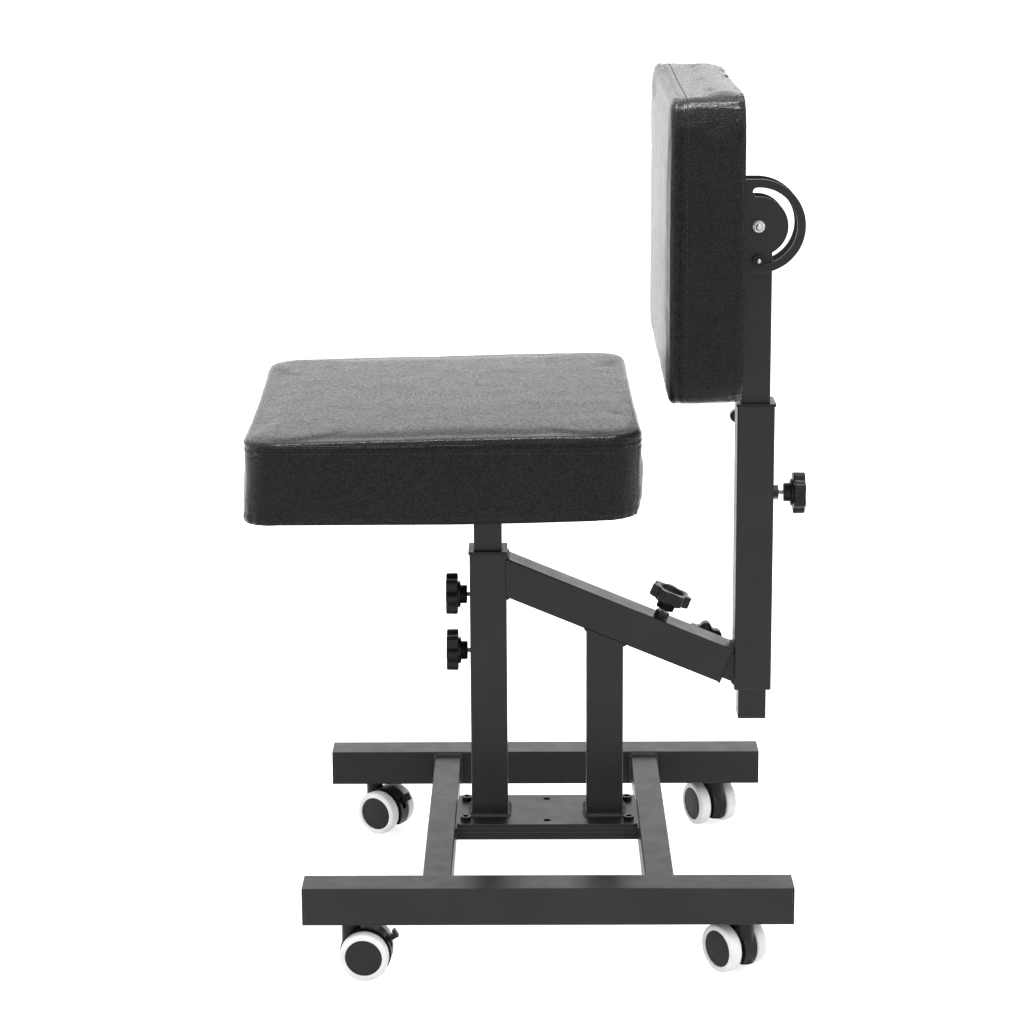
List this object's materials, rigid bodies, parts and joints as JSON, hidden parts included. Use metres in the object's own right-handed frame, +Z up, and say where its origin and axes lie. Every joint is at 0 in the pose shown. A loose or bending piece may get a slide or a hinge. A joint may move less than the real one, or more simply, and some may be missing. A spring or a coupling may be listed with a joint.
{
  "type": "kneeling massage chair",
  "caption": "Wheeled massage chair: square-tube base on twin-wheel casters, padded height-adjustable seat, and a sliding, rising, tilting chest pad held by star knobs.",
  "frame": {"origin": "on the floor, at the middle of the bounding box seen from above", "axes": "+X from the seat towards the chest pad, +Y to the side where the boom's and back mast's side knobs are, +Z up"},
  "size_m": [0.731, 0.6339, 1.127],
  "materials": {
    "black_leather": "black synthetic leather with a fine grain",
    "black_plastic": "matte black plastic",
    "black_steel": "black oxide steel",
    "frame_paint": "satin black powder coat",
    "pale_tyre": "pale grey polyurethane",
    "plywood": "bare plywood",
    "zinc": "zinc-plated steel"
  },
  "bodies": {
    "base": {"side_rail_near": "frame_paint", "side_rail_far": "frame_paint", "rail_end_caps": "black_plastic", "cross_rail_left": "frame_paint", "cross_rail_right": "frame_paint", "base_bridge": "frame_paint", "mast_plate": "frame_paint", "mast_bolts": "black_steel", "mast_nuts": "zinc", "front_mast": "frame_paint", "strut": "frame_paint", "boom": "frame_paint", "frame_welds": "frame_paint", "seat_sleeve": "black_plastic", "boom_sleeve": "black_plastic", "boom_weld_nuts": "frame_paint", "caster_stems": "zinc"},
    "seat": {"seat_post": "frame_paint", "seat_plate": "frame_paint", "seat_welds": "frame_paint", "seat_board": "plywood", "seat_cushion": "black_leather", "seat_screws": "zinc"},
    "reach": {"boom_slide": "frame_paint", "back_mast": "frame_paint", "back_sleeve": "black_plastic", "back_weld_nuts": "frame_paint", "back_welds": "frame_paint"},
    "lift": {"back_post": "frame_paint", "post_plugs": "black_plastic", "pivot_bolt": "zinc", "tilt_lock_bushes": "black_steel", "tilt_lock_stud": "zinc"},
    "pad": {"bracket_plates": "frame_paint", "bracket_welds": "frame_paint", "pad_plate": "frame_paint", "pad_board": "plywood", "pad_cushion": "black_leather", "pad_screws": "zinc"},
    "seat_knob_upper": {"seat_knob_upper": "black_plastic"},
    "seat_knob_lower": {"seat_knob_lower": "black_plastic"},
    "boom_knob_top": {"boom_knob_top": "black_plastic"},
    "boom_knob_side": {"boom_knob_side": "black_plastic"},
    "back_knob_rear": {"back_knob_rear": "black_plastic"},
    "back_knob_side": {"back_knob_side": "black_plastic"},
    "tilt_lock_knob": {"tilt_lock_knob": "black_plastic"},
    "caster_near_left": {"caster_near_left_hood": "black_plastic"},
    "caster_near_left_wheel_a": {"caster_near_left_wheel_a": "pale_tyre"},
    "caster_near_left_wheel_b": {"caster_near_left_wheel_b": "pale_tyre"},
    "caster_near_left_brake": {"caster_near_left_brake": "black_plastic"},
    "caster_far_left": {"caster_far_left_hood": "black_plastic"},
    "caster_far_left_wheel_a": {"caster_far_left_wheel_a": "pale_tyre"},
    "caster_far_left_wheel_b": {"caster_far_left_wheel_b": "pale_tyre"},
    "caster_far_left_brake": {"caster_far_left_brake": "black_plastic"},
    "caster_near_right": {"caster_near_right_hood": "black_plastic"},
    "caster_near_right_wheel_a": {"caster_near_right_wheel_a": "pale_tyre"},
    "caster_near_right_wheel_b": {"caster_near_right_wheel_b": "pale_tyre"},
    "caster_far_right": {"caster_far_right_hood": "black_plastic"},
    "caster_far_right_wheel_a": {"caster_far_right_wheel_a": "pale_tyre"},
    "caster_far_right_wheel_b": {"caster_far_right_wheel_b": "pale_tyre"}
  },
  "joints": [
    {"name": "seat_height", "type": "slide", "parent": "base", "child": "seat", "axis": [0, 0, 1], "range_m": [-0.075, 0.1]},
    {"name": "boom_reach", "type": "slide", "parent": "base", "child": "reach", "axis": [0.9222, 0, -0.3867], "range_m": [0, 0.15]},
    {"name": "pad_height", "type": "slide", "parent": "reach", "child": "lift", "axis": [0, 0, 1], "range_m": [-0.12, 0.15]},
    {"name": "pad_tilt", "type": "hinge", "parent": "lift", "child": "pad", "pos_m": [0.297, -0.008, 0.9398], "axis": [0, 1, 0], "range_deg": [0, 180]},
    {"name": "seat_knob_upper_turn", "type": "hinge", "parent": "base", "child": "seat_knob_upper", "pos_m": [-0.088, -0.008, 0.4344], "axis": [-1, 0, 0], "continuous": true},
    {"name": "seat_knob_lower_turn", "type": "hinge", "parent": "base", "child": "seat_knob_lower", "pos_m": [-0.088, -0.008, 0.3549], "axis": [-1, 0, 0], "continuous": true},
    {"name": "boom_knob_top_turn", "type": "hinge", "parent": "base", "child": "boom_knob_top", "pos_m": [0.17271, -0.008, 0.40195], "axis": [0.3867, 0, 0.9222], "continuous": true},
    {"name": "boom_knob_side_turn", "type": "hinge", "parent": "base", "child": "boom_knob_side", "pos_m": [0.23313, 0.017, 0.34951], "axis": [0, 1, 0], "continuous": true},
    {"name": "back_knob_rear_turn", "type": "hinge", "parent": "reach", "child": "back_knob_rear", "pos_m": [0.322, -0.008, 0.5755], "axis": [1, 0, 0], "continuous": true},
    {"name": "back_knob_side_turn", "type": "hinge", "parent": "reach", "child": "back_knob_side", "pos_m": [0.297, 0.017, 0.669], "axis": [0, 1, 0], "continuous": true},
    {"name": "tilt_lock_knob_turn", "type": "hinge", "parent": "lift", "child": "tilt_lock_knob", "pos_m": [0.297, 0.0183, 0.8948], "axis": [0, 1, 0], "continuous": true},
    {"name": "caster_near_left_swivel", "type": "hinge", "parent": "base", "child": "caster_near_left", "pos_m": [-0.24, -0.278, 0.072], "axis": [0, 0, 1], "continuous": true},
    {"name": "caster_near_left_wheel_a_roll", "type": "hinge", "parent": "caster_near_left", "child": "caster_near_left_wheel_a", "pos_m": [-0.22008, -0.27974, 0.032], "axis": [0.0872, 0.9962, 0], "continuous": true},
    {"name": "caster_near_left_wheel_b_roll", "type": "hinge", "parent": "caster_near_left", "child": "caster_near_left_wheel_b", "pos_m": [-0.22008, -0.27974, 0.032], "axis": [0.0872, 0.9962, 0], "continuous": true},
    {"name": "caster_near_left_brake_press", "type": "hinge", "parent": "caster_near_left", "child": "caster_near_left_brake", "pos_m": [-0.20023, -0.28148, 0.0435], "axis": [0.0872, 0.9962, 0], "range_deg": [0, 14]},
    {"name": "caster_far_left_swivel", "type": "hinge", "parent": "base", "child": "caster_far_left", "pos_m": [-0.24, 0.262, 0.072], "axis": [0, 0, 1], "continuous": true},
    {"name": "caster_far_left_wheel_a_roll", "type": "hinge", "parent": "caster_far_left", "child": "caster_far_left_wheel_a", "pos_m": [-0.22268, 0.252, 0.032], "axis": [0.5, 0.866, 0], "continuous": true},
    {"name": "caster_far_left_wheel_b_roll", "type": "hinge", "parent": "caster_far_left", "child": "caster_far_left_wheel_b", "pos_m": [-0.22268, 0.252, 0.032], "axis": [0.5, 0.866, 0], "continuous": true},
    {"name": "caster_far_left_brake_press", "type": "hinge", "parent": "caster_far_left", "child": "caster_far_left_brake", "pos_m": [-0.20543, 0.24204, 0.0435], "axis": [0.5, 0.866, 0], "range_deg": [0, 14]},
    {"name": "caster_near_right_swivel", "type": "hinge", "parent": "base", "child": "caster_near_right", "pos_m": [0.27, -0.278, 0.072], "axis": [0, 0, 1], "continuous": true},
    {"name": "caster_near_right_wheel_a_roll", "type": "hinge", "parent": "caster_near_right", "child": "caster_near_right_wheel_a", "pos_m": [0.25796, -0.26203, 0.032], "axis": [-0.7986, -0.6018, 0], "continuous": true},
    {"name": "caster_near_right_wheel_b_roll", "type": "hinge", "parent": "caster_near_right", "child": "caster_near_right_wheel_b", "pos_m": [0.25796, -0.26203, 0.032], "axis": [-0.7986, -0.6018, 0], "continuous": true},
    {"name": "caster_far_right_swivel", "type": "hinge", "parent": "base", "child": "caster_far_right", "pos_m": [0.27, 0.262, 0.072], "axis": [0, 0, 1], "continuous": true},
    {"name": "caster_far_right_wheel_a_roll", "type": "hinge", "parent": "caster_far_right", "child": "caster_far_right_wheel_a", "pos_m": [0.26155, 0.28013, 0.032], "axis": [-0.9063, -0.4226, 0], "continuous": true},
    {"name": "caster_far_right_wheel_b_roll", "type": "hinge", "parent": "caster_far_right", "child": "caster_far_right_wheel_b", "pos_m": [0.26155, 0.28013, 0.032], "axis": [-0.9063, -0.4226, 0], "continuous": true}
  ]
}
